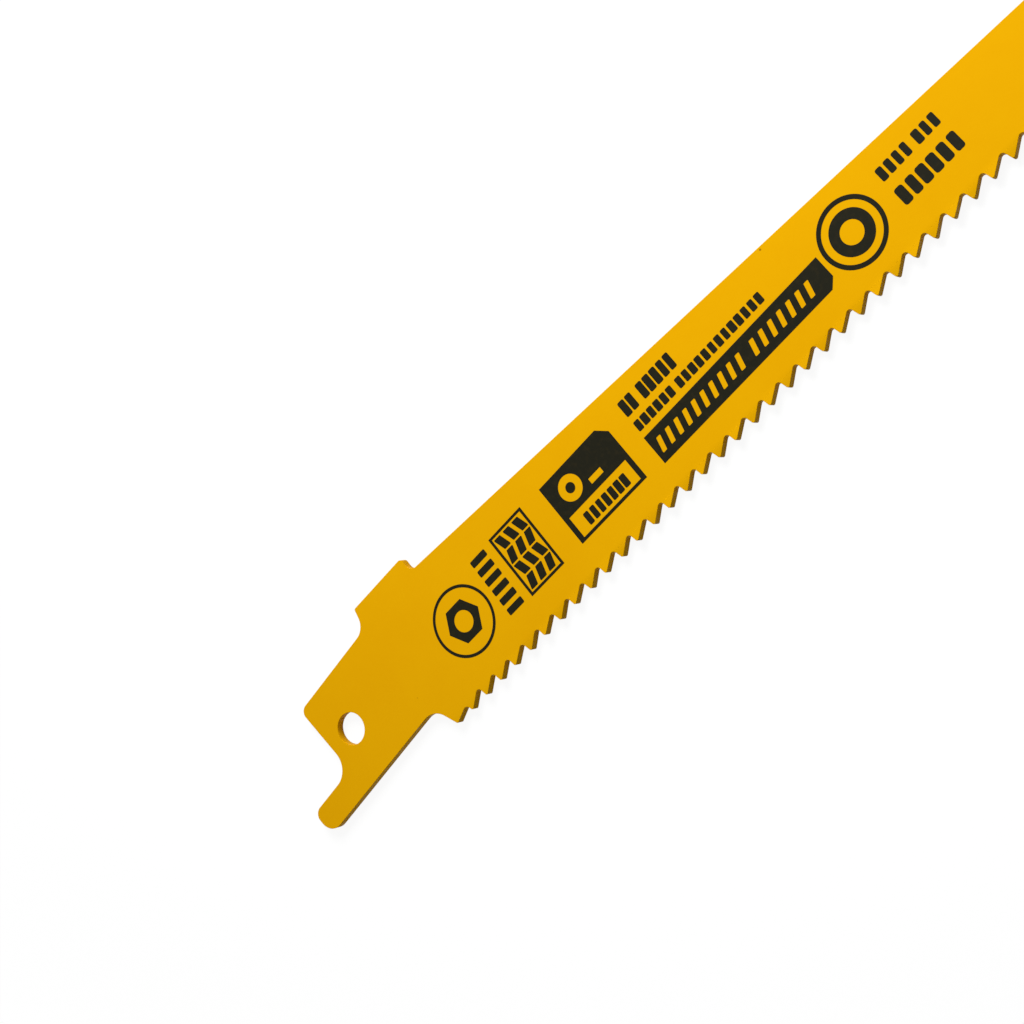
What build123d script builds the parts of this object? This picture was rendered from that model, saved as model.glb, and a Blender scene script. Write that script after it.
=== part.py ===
from build123d import *
import os
from math import cos, floor, radians, sin, tan

# Reciprocating saw blade, blanked from one flat strip, toothed, set and painted.
# Millimetres and degrees. The blade lies on its back face, printed face up.
# The origin is on the tang hole's axis at half the thickness. +X runs along the teeth to the nose,
# +Y from the teeth to the back, +Z out of the printed face.

# Strip, with the paint on both faces
thickness = 1.1

# Tang. Along and across are measured from the hole, in the tang's own canted direction.
tang_tilt = 4.87            # cant of the tang against the tooth line
tang_width = 12.7
tang_end = 3.73             # hole axis to the tang's square end
tang_corner_radius = 1.0
tang_hole_diameter = 3.8

# Finger: the narrow prong that runs on from the tang's lower side
finger_length = 7.53        # past the tang's square end
finger_width = 3.31
finger_root_radius = 2.55
finger_upper_radius = 1.1
finger_lower_radius = 1.75

# Body
tooth_line_drop = 8.91      # hole axis down to the line of the sharp tips, before they are rounded
body_height = 16.66         # tip line to the back, just in front of the lug
back_taper = 4.33           # the back comes down towards the teeth along the blade
nose_reach = 141.0          # hole axis to the nose
nose_radius = 2.5

# Heel: the slope from the tang down to the first tooth
heel_slope = 65.5
heel_radius = 2.3

# Lug: the shoulder that stands above the tang and the back
lug_start = 9.83
lug_end = 18.6
lug_rise = 1.96             # above the back at the lug's front
lug_lean = 12.8             # its tang side leans forward from square
lug_root_radius = 2.0
lug_rear_radius = 0.25
lug_front_radius = 0.45
lug_fillet_radius = 1.0

# Teeth
tooth_pitch = 2.54          # ten to the inch
relief_angle = 35.0         # back of a tooth, against the tip line
rake_angle = 12.5           # front of a tooth, leaning back from square
gullet_radius = 0.38
tip_radius = 0.2

# The first tooth is short, and the gullet behind it shallow
first_tip_reach = 11.77     # hole axis to the first tip
first_tip_rise = 0.19       # first tip stands back from the tip line
first_relief_angle = 21.0
first_rake_angle = 18.0
first_gullet_radius = 0.5

# Set: past the first few teeth, one leans to the printed face, the next away from it
tooth_set = 0.12            # how far a tip stands out sideways
straight_teeth = 4
bend_clearance = 0.15       # bend line to the gullet floors
nose_land = 1.2             # least length between the last tip and the nose

edge_share = 0.95           # most of an edge that its two fillets may take up
cutter_overrun = 2.0        # how far a cutting shape reaches past the edge that it cuts


def on_tang(along, across):
    """Point at a distance along and across the tang's canted axis."""
    return Vector(along, across).rotate(Axis.Z, tang_tilt)


def crossing(point_a, angle_a, point_b, angle_b):
    """Point where two lines meet, each given by a point and its direction in degrees."""
    direction_a = Vector(cos(radians(angle_a)), sin(radians(angle_a)))
    direction_b = Vector(cos(radians(angle_b)), sin(radians(angle_b)))
    reach = (point_b - point_a).cross(direction_b).Z / direction_a.cross(direction_b).Z
    return point_a + direction_a * reach


def rounded_outline(corners):
    """Closed face through (point, radius) corners. Two fillets that crowd an edge shrink to fit it."""
    points = [point for point, radius in corners]
    count = len(points)
    tangents = []
    for i, (point, radius) in enumerate(corners):
        turn = (point - points[i - 1]).get_angle(points[(i + 1) % count] - point)
        tangents.append(radius * tan(radians(turn / 2)))
    room = []
    for i in range(count):
        used = tangents[i - 1] + tangents[i]
        room.append(edge_share * (points[i] - points[i - 1]).length / max(used, tip_radius / 100))
    radii = [
        radius * min(1, room[i], room[(i + 1) % count])
        for i, (point, radius) in enumerate(corners)
    ]
    return make_face(FilletPolyline(*points, radius=radii, close=True))


def blank():
    """The blade's outline with its first tooth, before the other gullets are cut."""
    half_width = tang_width / 2
    finger_end = -tang_end - finger_length
    finger_top = finger_width - half_width
    first_tip = Vector(first_tip_reach, tip_y + first_tip_rise)
    second_tip = Vector(tip_reaches[1], tip_y)
    lug_foot = Vector(lug_end, tip_y + body_height)
    lug_front = lug_foot + Vector(0, lug_rise)
    lug_rear = Vector(lug_start, lug_front.Y)
    nose = Vector(nose_reach, tip_y)
    return rounded_outline([
        (crossing(on_tang(0, -half_width), tang_tilt, first_tip, -heel_slope), heel_radius),
        (first_tip, tip_radius),
        (
            crossing(first_tip, first_relief_angle, second_tip, 90 + first_rake_angle),
            first_gullet_radius,
        ),
        (second_tip, 0),
        (nose, 0),
        (crossing(lug_foot, -back_taper, nose, 90), nose_radius),
        (lug_foot, lug_fillet_radius),
        (lug_front, lug_front_radius),
        (lug_rear, lug_rear_radius),
        (crossing(on_tang(0, half_width), tang_tilt, lug_rear, 90 - lug_lean), lug_root_radius),
        (on_tang(-tang_end, half_width), tang_corner_radius),
        (on_tang(-tang_end, finger_top), finger_root_radius),
        (on_tang(finger_end, finger_top), finger_upper_radius),
        (on_tang(finger_end, -half_width), finger_lower_radius),
    ])


def gullet_cutter():
    """Gap between a tip at the origin and the next one, a pitch further on, with a round floor."""
    floor_corner = crossing(Vector(0, 0), relief_angle, Vector(tooth_pitch, 0), 90 + rake_angle)
    rear_mouth = Vector(-cutter_overrun / tan(radians(relief_angle)), -cutter_overrun)
    front_mouth = Vector(tooth_pitch + cutter_overrun * tan(radians(rake_angle)), -cutter_overrun)
    sides = FilletPolyline(rear_mouth, floor_corner, front_mouth, radius=gullet_radius)
    return make_face(sides + Line(front_mouth, rear_mouth))


def nose_cutter():
    """Plain slope from a last tip at the origin up to the nose."""
    run = nose_reach - last_tip_x + cutter_overrun
    rise = run * tan(radians(relief_angle))
    return make_face(
        Polyline((0, 0), (run, rise), (run, -cutter_overrun), (0, -cutter_overrun), close=True)
    )


def set_slab(side):
    """Long slab that leans to one side from the bend line to the tips. Set teeth are cut from it."""
    half = thickness / 2
    lean = side * tooth_set
    section = Polyline(
        (bend_y, -half), (bend_y, half), (tip_y, half + lean), (tip_y, lean - half), close=True
    )
    return extrude(Plane.YZ * make_face(section), amount=nose_reach)


# Mill the gullets, round the tips and pierce the tang
tip_y = -tooth_line_drop
tooth_count = 1 + floor((nose_reach - nose_land - first_tip_reach) / tooth_pitch)
tip_reaches = [first_tip_reach + tooth * tooth_pitch for tooth in range(tooth_count)]
last_tip_x = tip_reaches[-1]

gullet = gullet_cutter()
toothed = blank() - [Pos(reach, tip_y) * gullet for reach in tip_reaches[1:-1]]
toothed -= Pos(last_tip_x, tip_y) * nose_cutter()
sharp_tips = toothed.vertices().filter_by(lambda corner: abs(corner.Y - tip_y) < tip_radius / 100)
toothed = fillet(sharp_tips, tip_radius) - Circle(tang_hole_diameter / 2)

# Split the outline along the bend line, and set the teeth beyond it to one side and the other
gullet_centre = gullet.edges().filter_by(GeomType.CIRCLE)[0].arc_center
gullet_depth = gullet_centre.Y + gullet_radius
bend_y = tip_y + gullet_depth - bend_clearance
last_straight_tip = tip_reaches[straight_teeth - 1]
tooth_band = Pos(last_straight_tip + gullet_centre.X, bend_y) * Rectangle(
    nose_reach, gullet_depth, align=(Align.MIN, Align.MAX)
)
blade = extrude(toothed - tooth_band, amount=thickness / 2, both=True)

set_teeth = (toothed & tooth_band).faces().sort_by(Axis.X)
for side, teeth in ((1, set_teeth[0::2]), (-1, set_teeth[1::2])):
    slab = set_slab(side)
    blade += [extrude(tooth, amount=thickness, both=True) & slab for tooth in teeth]

blade = blade.solid()
blade.label = "saw_blade"
os.makedirs("parts", exist_ok=True)
export_step(blade, "parts/saw_blade.step")
print("teeth", tooth_count, "of which set", len(set_teeth), "volume", round(blade.volume, 1))
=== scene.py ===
import math

import bmesh
import bpy
from mathutils import Matrix, Vector


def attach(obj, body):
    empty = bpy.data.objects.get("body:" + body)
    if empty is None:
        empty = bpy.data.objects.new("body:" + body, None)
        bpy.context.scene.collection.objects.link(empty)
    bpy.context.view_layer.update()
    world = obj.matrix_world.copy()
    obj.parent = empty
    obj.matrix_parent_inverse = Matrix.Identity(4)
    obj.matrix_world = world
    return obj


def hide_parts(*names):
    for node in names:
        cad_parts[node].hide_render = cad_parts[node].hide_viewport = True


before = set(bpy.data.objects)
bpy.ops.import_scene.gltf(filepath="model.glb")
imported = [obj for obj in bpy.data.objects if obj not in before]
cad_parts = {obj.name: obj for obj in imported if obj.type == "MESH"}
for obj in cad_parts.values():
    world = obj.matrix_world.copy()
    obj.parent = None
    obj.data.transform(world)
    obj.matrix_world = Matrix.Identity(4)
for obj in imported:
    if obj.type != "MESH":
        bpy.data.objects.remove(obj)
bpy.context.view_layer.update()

# The blade: one strip of steel, blanked, toothed and set, then painted all over in one satin coat
# of yellow that runs round every edge. The coat clouds slightly, is a shade thinner out on the
# teeth, and has a faint orange peel, a few fine flecks and one dark speck at the back edge.

MM = 0.001

SAME_PLACE = 0.0005 * MM        # corners nearer than this are one corner
FLAT_ANGLE = math.radians(0.5)  # triangles nearer than this to one plane are joined
RIM_ROUND = 0.04 * MM           # the paint rounds every sharp rim a little
RIM_STEPS = 2
RIM_ANGLE = math.radians(50)    # and leaves the gentler bends of the set teeth alone

PRINTED_FACE = 0.55 * MM
TOOTH_TIPS = -8.9 * MM          # level of the tips, and of the gullets between them
TOOTH_ROOTS = -7.4 * MM
TOOTH_PITCH = 2.54 * MM
SET_FROM = 21.34 * MM           # gullet in front of the first set tooth
BEND_LINE = -7.78 * MM          # each set tooth leans from here to its tip
BEND_LEAN = 0.106               # sideways, for each millimetre towards the tip
BEND_SOFT = 0.45 * MM           # reach of the soft bend, above and below that line
BEND_SWAP = 3.0                 # how quickly it changes side between two teeth
BEND_FADE = 0.3 * MM            # from the middle of the strip, so that each face has its own bend

PAINT = (0.850, 0.418, 0.0008, 1.0)
PAINT_RICH = (0.872, 0.442, 0.0010, 1.0)
PAINT_THIN = (0.785, 0.395, 0.0008, 1.0)
FLECK = (0.260, 0.095, 0.0040, 1.0)
PAINT_ROUGHNESS = 0.46
PAINT_ROUGHER = 0.08            # in the mottle
PAINT_GLOSS = 0.06
PAINT_GLOSS_TINT = (0.90, 0.50, 0.02, 1.0)

CLOUDS = (14.3 * MM, 3.0, 0.35, 0.65)       # size, detail, and the levels that it fades between
MOTTLE = (1.11 * MM, 2.0, 0.30, 0.70)
FLECKED = (6.25 * MM, 0.0, 0.62, 0.68)
CLOUD_SHARE = 0.6               # of the rich yellow, where the clouds are full
MOTTLE_SHARE = 0.2
THIN_LEAST = 0.4                # of the thinning on the teeth, between the mottles
THIN_SHARE = 0.8
FLECK_SPACING = 2.38 * MM
FLECK_EDGE = (0.03, 0.07)       # in spacings, from a fleck's middle
FLECK_SHARE = 0.25
SPECK = (72.4 * MM, 3.35 * MM, PRINTED_FACE)
SPECK_EDGE = (0.10 * MM, 0.24 * MM)
SPECK_UNEVEN = 0.10 * MM
SPECK_SHARE = 0.8
PEEL_SIZE = 0.385 * MM
PEEL_DETAIL = 3.0
PEEL_DEPTH = 0.0036 * MM


class Sock:
    """A socket that can stand in a Python sum."""

    def __init__(self, tree, socket):
        self.tree = tree
        self.socket = socket

    def math(self, operation, *values):
        return self.tree.node("ShaderNodeMath", {"operation": operation}, *values)

    def __add__(self, other):
        return self.math("ADD", self, other)

    def __radd__(self, other):
        return self.math("ADD", other, self)

    def __sub__(self, other):
        return self.math("SUBTRACT", self, other)

    def __rsub__(self, other):
        return self.math("SUBTRACT", other, self)

    def __mul__(self, other):
        return self.math("MULTIPLY", self, other)

    def __rmul__(self, other):
        return self.math("MULTIPLY", other, self)

    def __truediv__(self, other):
        return self.math("DIVIDE", self, other)

    def __mod__(self, other):
        return self.math("MODULO", self, other)

    def __gt__(self, other):
        return self.math("GREATER_THAN", self, other)

    def __abs__(self):
        return self.math("ABSOLUTE", self)

    def floor(self):
        return self.math("FLOOR", self)

    def sine(self):
        return self.math("SINE", self)

    def held(self, low, high):
        """The value, kept from going below low or above high."""
        return self.tree.node("ShaderNodeClamp", {}, self, low, high)

    def between(self, low, high):
        """0 where the value is low, 1 where it is high, and smooth in between."""
        return self.tree.node(
            "ShaderNodeMapRange", {"interpolation_type": "SMOOTHSTEP"},
            Value=self, From_Min=low, From_Max=high,
        )


class Wiring:
    """A node tree whose nodes are written as expressions."""

    def __init__(self, tree):
        self.tree = tree
        tree.nodes.clear()

    def node(self, kind, settings, *values, output=None, **named):
        """One node. Values go to its inputs in order, named ones by name, with _ for a space."""
        made = self.tree.nodes.new(kind)
        for key, value in settings.items():
            setattr(made, key, value)
        inputs = [socket for socket in made.inputs if socket.enabled]
        pairs = list(zip(inputs, values))
        for key, value in named.items():
            name = key.replace("_", " ")
            pairs.append((next(socket for socket in inputs if socket.name == name), value))
        for socket, value in pairs:
            if isinstance(value, (Sock, list)):
                for source in value if isinstance(value, list) else [value]:
                    self.tree.links.new(source.socket, socket)
            else:
                socket.default_value = value
        outputs = [socket for socket in made.outputs if socket.enabled]
        if not outputs:
            return None
        return Sock(self, next(socket for socket in outputs if output in (None, socket.name)))


class Finish(Wiring):
    """A material."""

    def __init__(self, name):
        self.material = bpy.data.materials.new(name)
        self.material.use_nodes = True
        super().__init__(self.material.node_tree)

    def place(self):
        return self.node("ShaderNodeTexCoord", {}, output="Object")

    def axis(self, letter):
        return self.node("ShaderNodeSeparateXYZ", {}, Vector=self.place(), output=letter)

    def noise(self, size, detail):
        return self.node(
            "ShaderNodeTexNoise", {}, Vector=self.place(), Scale=1 / size, Detail=detail,
            output="Fac",
        )

    def patches(self, size, detail, low, high):
        """Soft-edged patches, 1 inside and 0 outside."""
        return self.noise(size, detail).between(low, high)

    def mix(self, share, first, second):
        """Colour that goes from the first to the second."""
        return self.node("ShaderNodeMix", {"data_type": "RGBA"}, share, first, second)

    def bump(self, height):
        """Normal of a surface that stands out by this height, in metres."""
        return self.node("ShaderNodeBump", {}, Strength=1.0, Distance=1.0, Height=height)

    def surface(self, shader):
        self.node("ShaderNodeOutputMaterial", {}, Surface=shader)
        return self.material


paint = Finish("yellow_paint")
along = paint.axis("X")
across = paint.axis("Y")
clouds = paint.patches(*CLOUDS)
mottle = paint.patches(*MOTTLE)
tone = paint.mix(clouds * CLOUD_SHARE + mottle * MOTTLE_SHARE, PAINT, PAINT_RICH)

on_teeth = 1.0 - across.between(TOOTH_TIPS, TOOTH_ROOTS)
thin = on_teeth * (THIN_LEAST + (1.0 - THIN_LEAST) * mottle)
tone = paint.mix(thin * THIN_SHARE, tone, PAINT_THIN)

from_fleck = paint.node(
    "ShaderNodeTexVoronoi", {"feature": "F1"}, Vector=paint.place(), Scale=1 / FLECK_SPACING,
    output="Distance",
)
fine_flecks = (1.0 - from_fleck.between(*FLECK_EDGE)) * paint.patches(*FLECKED)
from_speck = paint.node(
    "ShaderNodeVectorMath", {"operation": "DISTANCE"}, paint.place(), SPECK, output="Value"
)
speck = 1.0 - (from_speck + SPECK_UNEVEN * mottle).between(*SPECK_EDGE)
tone = paint.mix(fine_flecks * FLECK_SHARE + speck * SPECK_SHARE, tone, FLECK)

# The bump gives both sides of the bend line half the lean there, and less of it further off.
face = (paint.axis("Z") / BEND_FADE).held(-1.0, 1.0)
swing = ((along - SET_FROM) * (math.pi / TOOTH_PITCH)).sine()
side = (swing * BEND_SWAP).held(-1.0, 1.0) * (along > SET_FROM)
near_bend = (BEND_SOFT - abs(across - BEND_LINE)).held(0.0, BEND_SOFT)
bend = near_bend * near_bend * (BEND_LEAN / (4.0 * BEND_SOFT)) * side * face
peel = paint.noise(PEEL_SIZE, PEEL_DETAIL) * PEEL_DEPTH

yellow_paint = paint.surface(paint.node(
    "ShaderNodeBsdfPrincipled", {}, Base_Color=tone,
    Roughness=PAINT_ROUGHNESS + PAINT_ROUGHER * mottle, Specular_IOR_Level=PAINT_GLOSS,
    Specular_Tint=PAINT_GLOSS_TINT, Normal=paint.bump(peel + bend),
))

blade_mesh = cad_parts["saw_blade"].data.copy()
work = bmesh.new()
work.from_mesh(blade_mesh)
bmesh.ops.remove_doubles(work, verts=work.verts, dist=SAME_PLACE)
bmesh.ops.dissolve_limit(work, angle_limit=FLAT_ANGLE, verts=work.verts, edges=work.edges)
work.to_mesh(blade_mesh)
work.free()
blade_mesh.materials.clear()
blade_mesh.materials.append(yellow_paint)
blade = bpy.data.objects.new("painted_blade", blade_mesh)
bpy.context.scene.collection.objects.link(blade)
rims = blade.modifiers.new("rims", "BEVEL")
rims.width = RIM_ROUND
rims.segments = RIM_STEPS
rims.limit_method = "ANGLE"
rims.angle_limit = RIM_ANGLE
blade.data = bpy.data.meshes.new_from_object(
    blade.evaluated_get(bpy.context.evaluated_depsgraph_get())
)
blade.modifiers.clear()
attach(blade, "root")
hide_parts("saw_blade")

# The printed marks: satin black ink, printed on the dry paint of one face in a single pass, as a
# film a fiftieth of a millimetre thick. Rings, frames and a bar are drawn, and blocks stand in
# rows on the bare paint as ink, or inside a drawn field of ink as openings that show the paint.

FILM = 0.02 * MM
FILM_SUNK = 0.004 * MM          # how far the film reaches into the paint, so that it never floats
FILM_MERGE = 0.001 * MM         # corners nearer than this are one corner
CORNER_STEPS = 4                # round each corner of a block
CIRCLE_SIDES = 96
ONE_GROUP = 99                  # a row that is shorter than this has no gap in it

INK = (0.0125, 0.0120, 0.0060, 1.0)
INK_THIN = (0.0185, 0.0155, 0.0065, 1.0)
INK_ROUGHNESS = 0.45
INK_ROUGHER = 0.10              # in the thin patches
INK_GLOSS = 0.06
THIN_PATCHES = (0.667 * MM, 3.0, 0.45, 0.75)
INK_GRAIN = 0.333 * MM
INK_GRAIN_DETAIL = 2.0
INK_GRAIN_DEPTH = 0.002 * MM

ink = Finish("black_ink")
thin_ink = ink.patches(*THIN_PATCHES)
grain = ink.noise(INK_GRAIN, INK_GRAIN_DETAIL) * INK_GRAIN_DEPTH
black_ink = ink.surface(ink.node(
    "ShaderNodeBsdfPrincipled", {}, Base_Color=ink.mix(thin_ink, INK, INK_THIN),
    Roughness=INK_ROUGHNESS + INK_ROUGHER * thin_ink, Specular_IOR_Level=INK_GLOSS,
    Normal=ink.bump(grain),
))


class Layout(Wiring):
    """A Geometry Nodes tree with named inputs."""

    def __init__(self, name):
        super().__init__(bpy.data.node_groups.new(name, "GeometryNodeTree"))
        self.identifiers = {}

    def ask(self, name, kind="NodeSocketFloat"):
        """An input that the modifier fills in."""
        item = self.tree.interface.new_socket(name=name, in_out="INPUT", socket_type=kind)
        self.identifiers[name] = item.identifier
        return self.node("NodeGroupInput", {}, output=name)

    def give(self, geometry):
        """What comes out of the tree."""
        self.tree.interface.new_socket(
            name="Geometry", in_out="OUTPUT", socket_type="NodeSocketGeometry"
        )
        self.node("NodeGroupOutput", {}, Geometry=geometry)


printing = Layout("printed_blocks")
drawn = printing.ask("Drawn", "NodeSocketGeometry")
columns = printing.ask("Columns", "NodeSocketInt")
rows = printing.ask("Rows", "NodeSocketInt")
first_group = printing.ask("First Group", "NodeSocketInt")
seed = printing.ask("Seed", "NodeSocketInt")
left, low, pitch, row_pitch, group_gap, width, height, lean, corner, uneven, turn_rows = (
    printing.ask(name) for name in (
        "Left", "Low", "Pitch", "Row Pitch", "Group Gap", "Width", "Height", "Lean", "Corner",
        "Uneven", "Turn Rows",
    )
)
index = printing.node("GeometryNodeInputIndex", {})
row = (index / columns).floor()
column = index - row * columns
across_row = left + width * 0.5 + column * pitch + (column > first_group - 0.5) * group_gap
places = printing.node(
    "GeometryNodeSetPosition", {},
    Geometry=printing.node("GeometryNodeMeshLine", {}, Count=columns * rows, Offset=(0, 0, 0)),
    Position=printing.node(
        "ShaderNodeCombineXYZ", {}, across_row, low + height * 0.5 + row * row_pitch, 0.0
    ),
)
block = printing.node(
    "GeometryNodeFilletCurve", {"mode": "POLY"},
    Curve=printing.node(
        "GeometryNodeCurvePrimitiveQuadrilateral", {"mode": "PARALLELOGRAM"},
        Width=width, Height=height, Offset=lean,
    ),
    Count=CORNER_STEPS, Radius=corner, Limit_Radius=True,
)
stretch = printing.node(
    "FunctionNodeRandomValue", {"data_type": "FLOAT"}, Min=1.0 - uneven, Max=1.0 + uneven, Seed=seed
)
blocks = printing.node(
    "GeometryNodeInstanceOnPoints", {}, Points=places, Instance=block,
    Scale=printing.node(
        "ShaderNodeCombineXYZ", {}, stretch * (1.0 - 2.0 * turn_rows * (row % 2.0)), 1.0, 1.0
    ),
)
outlines = printing.node(
    "GeometryNodeJoinGeometry", {},
    Geometry=[
        printing.node("GeometryNodeMeshToCurve", {}, Mesh=drawn),
        printing.node("GeometryNodeRealizeInstances", {}, Geometry=blocks),
    ],
)
underside = printing.node(
    "GeometryNodeTransform", {},
    Geometry=printing.node("GeometryNodeFillCurve", {"mode": "TRIANGLES"}, Curve=outlines),
    Translation=(0, 0, PRINTED_FACE - FILM_SUNK),
)
film = printing.node(
    "GeometryNodeMergeByDistance", {},
    Geometry=printing.node(
        "GeometryNodeJoinGeometry", {},
        Geometry=[
            printing.node("GeometryNodeFlipFaces", {}, Mesh=underside),
            printing.node(
                "GeometryNodeExtrudeMesh", {"mode": "FACES"}, Mesh=underside,
                Offset_Scale=FILM + FILM_SUNK, Individual=False,
            ),
        ],
    ),
    Distance=FILM_MERGE,
)
film = printing.node("GeometryNodeRealizeInstances", {}, Geometry=film)
printing.give(
    printing.node("GeometryNodeSetMaterial", {}, Geometry=film, Material=black_ink)
)


def circle(centre, radius, sides=CIRCLE_SIDES):
    """Outline of a circle, or of a regular shape with fewer sides."""
    turns = [2 * math.pi * side / sides for side in range(sides)]
    return [
        (centre[0] + radius * math.cos(turn), centre[1] + radius * math.sin(turn))
        for turn in turns
    ]


def ring(centre, radius, line):
    """The two outlines of a ring, from the radius at the middle of its line."""
    return [circle(centre, radius + line / 2), circle(centre, radius - line / 2)]


def box(left, right, low, high, low_cut=0.0, high_cut=0.0):
    """Outline of a box. A cut takes off its lower or its upper corner on the right."""
    points = [(left, low), (right - low_cut, low)]
    points += [(right, low + low_cut)] if low_cut else []
    points += [(right, high - high_cut)] if high_cut else []
    return points + [(right - high_cut, high), (left, high)]


def print_mark(name, outlines=(), left=0.0, low=0.0, columns=0, rows=1, first_group=ONE_GROUP,
               seed=1, pitch=0.0, row_pitch=0.0, group_gap=0.0, width=0.0, height=0.0, lean=0.0,
               corner=0.0, uneven=0.0, turn_rows=0.0):
    """One mark, in millimetres, of drawn outlines and rows of blocks.

    Where one of them lies inside another, ink and bare paint take turns.
    """
    points = []
    edges = []
    for outline in outlines:
        first = len(points)
        points += [(x * MM, y * MM, 0.0) for x, y in outline]
        edges += [(first + i, first + (i + 1) % len(outline)) for i in range(len(outline))]
    mesh = bpy.data.meshes.new(name)
    mesh.from_pydata(points, edges, [])
    mark = bpy.data.objects.new(name, mesh)
    bpy.context.scene.collection.objects.link(mark)
    maker = mark.modifiers.new("printed_blocks", "NODES")
    maker.node_group = printing.tree
    settings = {
        "Columns": columns, "Rows": rows, "First Group": first_group, "Seed": seed,
        "Left": left * MM, "Low": low * MM, "Pitch": pitch * MM, "Row Pitch": row_pitch * MM,
        "Group Gap": group_gap * MM, "Width": width * MM, "Height": height * MM,
        "Lean": lean * MM, "Corner": corner * MM, "Uneven": uneven, "Turn Rows": turn_rows,
    }
    for setting, value in settings.items():
        maker[printing.identifiers[setting]] = value
    mark.data = bpy.data.meshes.new_from_object(
        mark.evaluated_get(bpy.context.evaluated_depsgraph_get())
    )
    mark.modifiers.clear()
    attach(mark, "root")


NUT = (20.22, -0.96)
print_mark(
    "nut_ring",
    [*ring(NUT, radius=3.92, line=0.35), circle(NUT, radius=2.5, sides=6),
     circle(NUT, radius=1.25)],
)
print_mark(
    "rear_tally", left=25.2, low=-4.45, columns=1, rows=6, row_pitch=1.366, width=2.4,
    height=0.82, corner=0.15,
)
print_mark(
    "framed_weave", [box(28.71, 34.15, -4.68, 3.43), box(29.04, 33.82, -4.37, 3.12)],
    left=29.42, low=-4.16, columns=3, rows=4, pitch=1.5, row_pitch=1.82, width=1.02,
    height=1.6, lean=0.5, corner=0.1, turn_rows=1.0,
)
WASHER = (40.2, 0.7)
print_mark(
    "two_part_panel",
    [box(37.20, 47.65, -4.66, 3.14, high_cut=1.22), box(37.86, 47.0, -4.30, -1.60),
     circle(WASHER, radius=1.5), circle(WASHER, radius=0.6), box(42.4, 44.3, -0.8, -0.1)],
    left=39.3, low=-3.9, columns=7, pitch=0.97, width=0.74, height=1.5, corner=0.15, uneven=0.1,
)
print_mark(
    "upper_line", left=50.28, low=1.37, columns=7, pitch=1.055, width=0.82, height=1.92,
    first_group=2, group_gap=0.65, corner=0.18, uneven=0.08, seed=3,
)
print_mark(
    "lower_line", left=50.26, low=-0.69, columns=19, pitch=0.995, width=0.75, height=1.24,
    first_group=6, group_gap=0.45, corner=0.15, uneven=0.14, seed=5,
)
print_mark(
    "long_bar", [box(50.13, 75.96, -5.04, -1.45, low_cut=0.95)],
    left=50.95, low=-4.14, columns=17, pitch=1.335, width=0.6, height=1.72, first_group=10,
    group_gap=0.75, lean=0.45, corner=0.1,
)
PIPE = (80.20, -2.39)
print_mark(
    "pipe_ring", [*ring(PIPE, radius=3.45, line=0.50), *ring(PIPE, radius=1.85, line=1.15)]
)
print_mark(
    "front_upper_line", left=85.70, low=-1.25, columns=7, pitch=1.06, width=0.76, height=1.52,
    first_group=4, group_gap=0.55, corner=0.2, uneven=0.1, seed=7,
)
print_mark(
    "front_lower_line", left=85.67, low=-4.57, columns=6, pitch=1.37, width=1.05, height=2.04,
    corner=0.3, uneven=0.06, seed=9,
)

# The floor: a plain white sheet that the blade lies on, with its faint soft shadow. It is white
# where it is seen or mirrored, gives the blade's walls only a little light from below, and far out
# it runs into the white of the room.

FLOOR_Z = -0.70 * MM
FLOOR_REACH = 3.0               # metres, each way
FLOOR_GREY = (0.13, 0.13, 0.13, 1.0)
FLOOR_GLOW = 0.91               # lifts the lit sheet to white
WHITE = (1.0, 1.0, 1.0, 1.0)
BLADE_MIDDLE = (65 * MM, 0, 0)
SHADOW_REACH = (85 * MM, 150 * MM)      # from that middle, where it fades to plain white

floor_mesh = bpy.data.meshes.new("floor")
floor_mesh.from_pydata(
    [(x * FLOOR_REACH, y * FLOOR_REACH, FLOOR_Z) for x, y in ((-1, -1), (1, -1), (1, 1), (-1, 1))],
    [], [(0, 1, 2, 3)],
)
floor = bpy.data.objects.new("floor", floor_mesh)
bpy.context.scene.collection.objects.link(floor)


def seen_or_mirrored(wiring):
    """1 on a camera ray and on one passed on by gloss or a clear piece, and 0 on others."""
    rays = ("Is Camera Ray", "Is Glossy Ray", "Is Transmission Ray")
    camera_ray, mirrored, passed = (
        wiring.node("ShaderNodeLightPath", {}, output=ray) for ray in rays
    )
    return camera_ray + mirrored + passed


sheet = Finish("white_sheet")
matt = sheet.node("ShaderNodeBsdfDiffuse", {}, Color=FLOOR_GREY)
glow = sheet.node("ShaderNodeEmission", {}, Color=WHITE, Strength=FLOOR_GLOW)
near = sheet.node("ShaderNodeAddShader", {}, matt, glow)
far = sheet.node("ShaderNodeEmission", {}, Color=WHITE, Strength=1.0)
from_blade = sheet.node(
    "ShaderNodeVectorMath", {"operation": "DISTANCE"}, sheet.place(), BLADE_MIDDLE, output="Value"
)
seen_sheet = sheet.node("ShaderNodeMixShader", {}, from_blade.between(*SHADOW_REACH), near, far)
white_sheet = sheet.surface(
    sheet.node("ShaderNodeMixShader", {}, seen_or_mirrored(sheet), matt, seen_sheet)
)
floor_mesh.materials.append(white_sheet)

# The light: an even room, which looks white like the floor, and one broad lamp above the back
# edge, nearer the nose.

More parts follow.
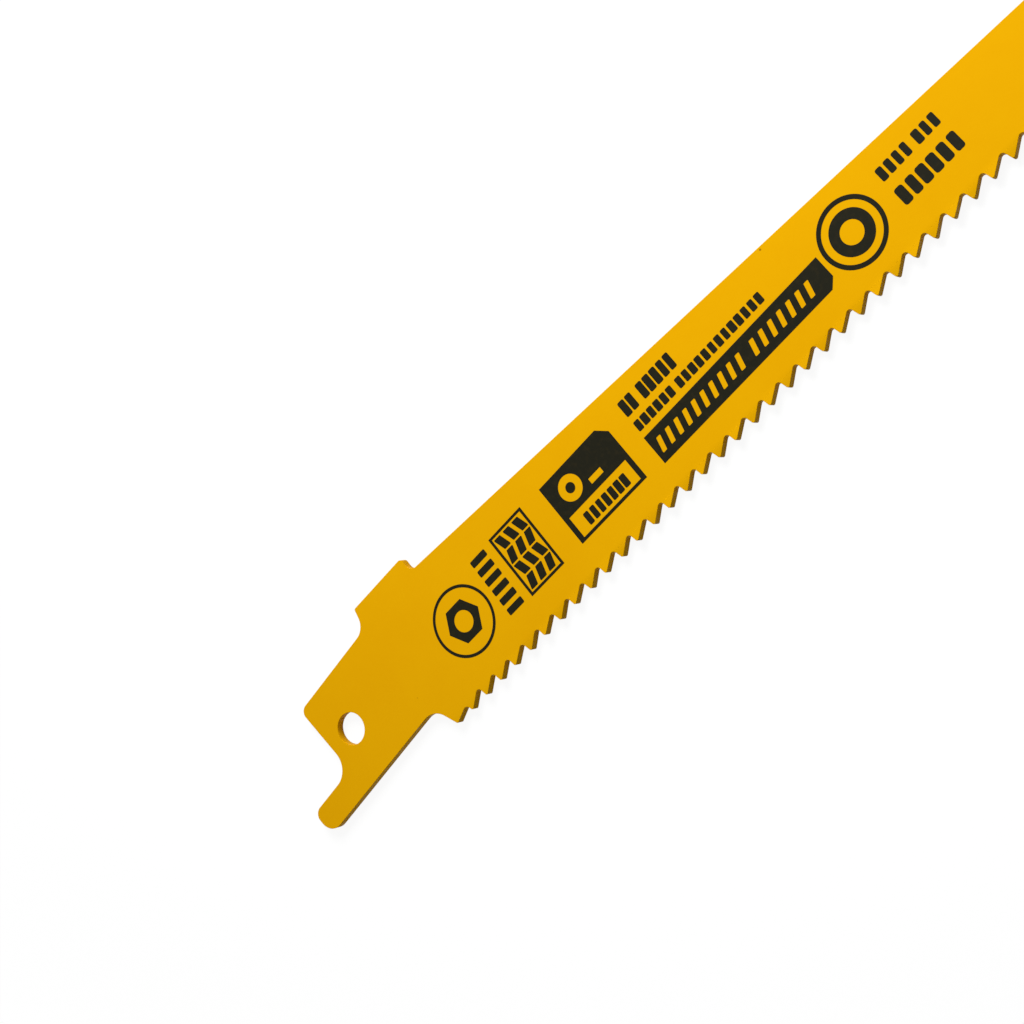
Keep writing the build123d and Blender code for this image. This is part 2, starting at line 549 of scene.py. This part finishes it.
ROOM_LIGHT = 0.29
LAMP_PLACE = Vector((122, 150, 150)) * MM
LAMP_AIM = Vector((60, 0, 0)) * MM
LAMP_SIZE = 120 * MM
LAMP_WATTS = 0.538

room = bpy.data.worlds.new("room")
room.use_nodes = True
air = Wiring(room.node_tree)
room_light = air.node("ShaderNodeBackground", {}, Color=WHITE, Strength=ROOM_LIGHT)
seen_room = air.node("ShaderNodeBackground", {}, Color=WHITE, Strength=1.0)
air.node(
    "ShaderNodeOutputWorld", {},
    Surface=air.node("ShaderNodeMixShader", {}, seen_or_mirrored(air), room_light, seen_room),
)
bpy.context.scene.world = room

lamp_data = bpy.data.lights.new("lamp", "AREA")
lamp_data.shape = "SQUARE"
lamp_data.size = LAMP_SIZE
lamp_data.energy = LAMP_WATTS
lamp = bpy.data.objects.new("lamp", lamp_data)
bpy.context.scene.collection.objects.link(lamp)
lamp.location = LAMP_PLACE
lamp.rotation_euler = (LAMP_AIM - LAMP_PLACE).to_track_quat("-Z", "Y").to_euler()

# The camera: where the photograph was taken from, with the same turn about its line of sight.

CAMERA_PLACE = Vector((110.4346, -59.7365, 169.6940)) * MM
CAMERA_AIM = Vector((33.0772, 3.6657, 0.55)) * MM
CAMERA_ROLL = math.radians(93.4613)
CAMERA_LENS = 63.5835
CAMERA_SENSOR = 36.0
CAMERA_NEAR = 0.01              # metres, the nearest and the furthest that it sees
CAMERA_FAR = 20.0

camera_data = bpy.data.cameras.new("camera")
camera_data.sensor_width = CAMERA_SENSOR
camera_data.lens = CAMERA_LENS
camera_data.clip_start = CAMERA_NEAR
camera_data.clip_end = CAMERA_FAR
camera = bpy.data.objects.new("camera", camera_data)
bpy.context.scene.collection.objects.link(camera)
line_of_sight = (CAMERA_AIM - CAMERA_PLACE).to_track_quat("-Z", "Y").to_matrix().to_4x4()
camera.matrix_world = (
    Matrix.Translation(CAMERA_PLACE) @ line_of_sight @ Matrix.Rotation(-CAMERA_ROLL, 4, "Z")
)
bpy.context.scene.camera = camera
bpy.context.scene.view_settings.view_transform = "Standard"
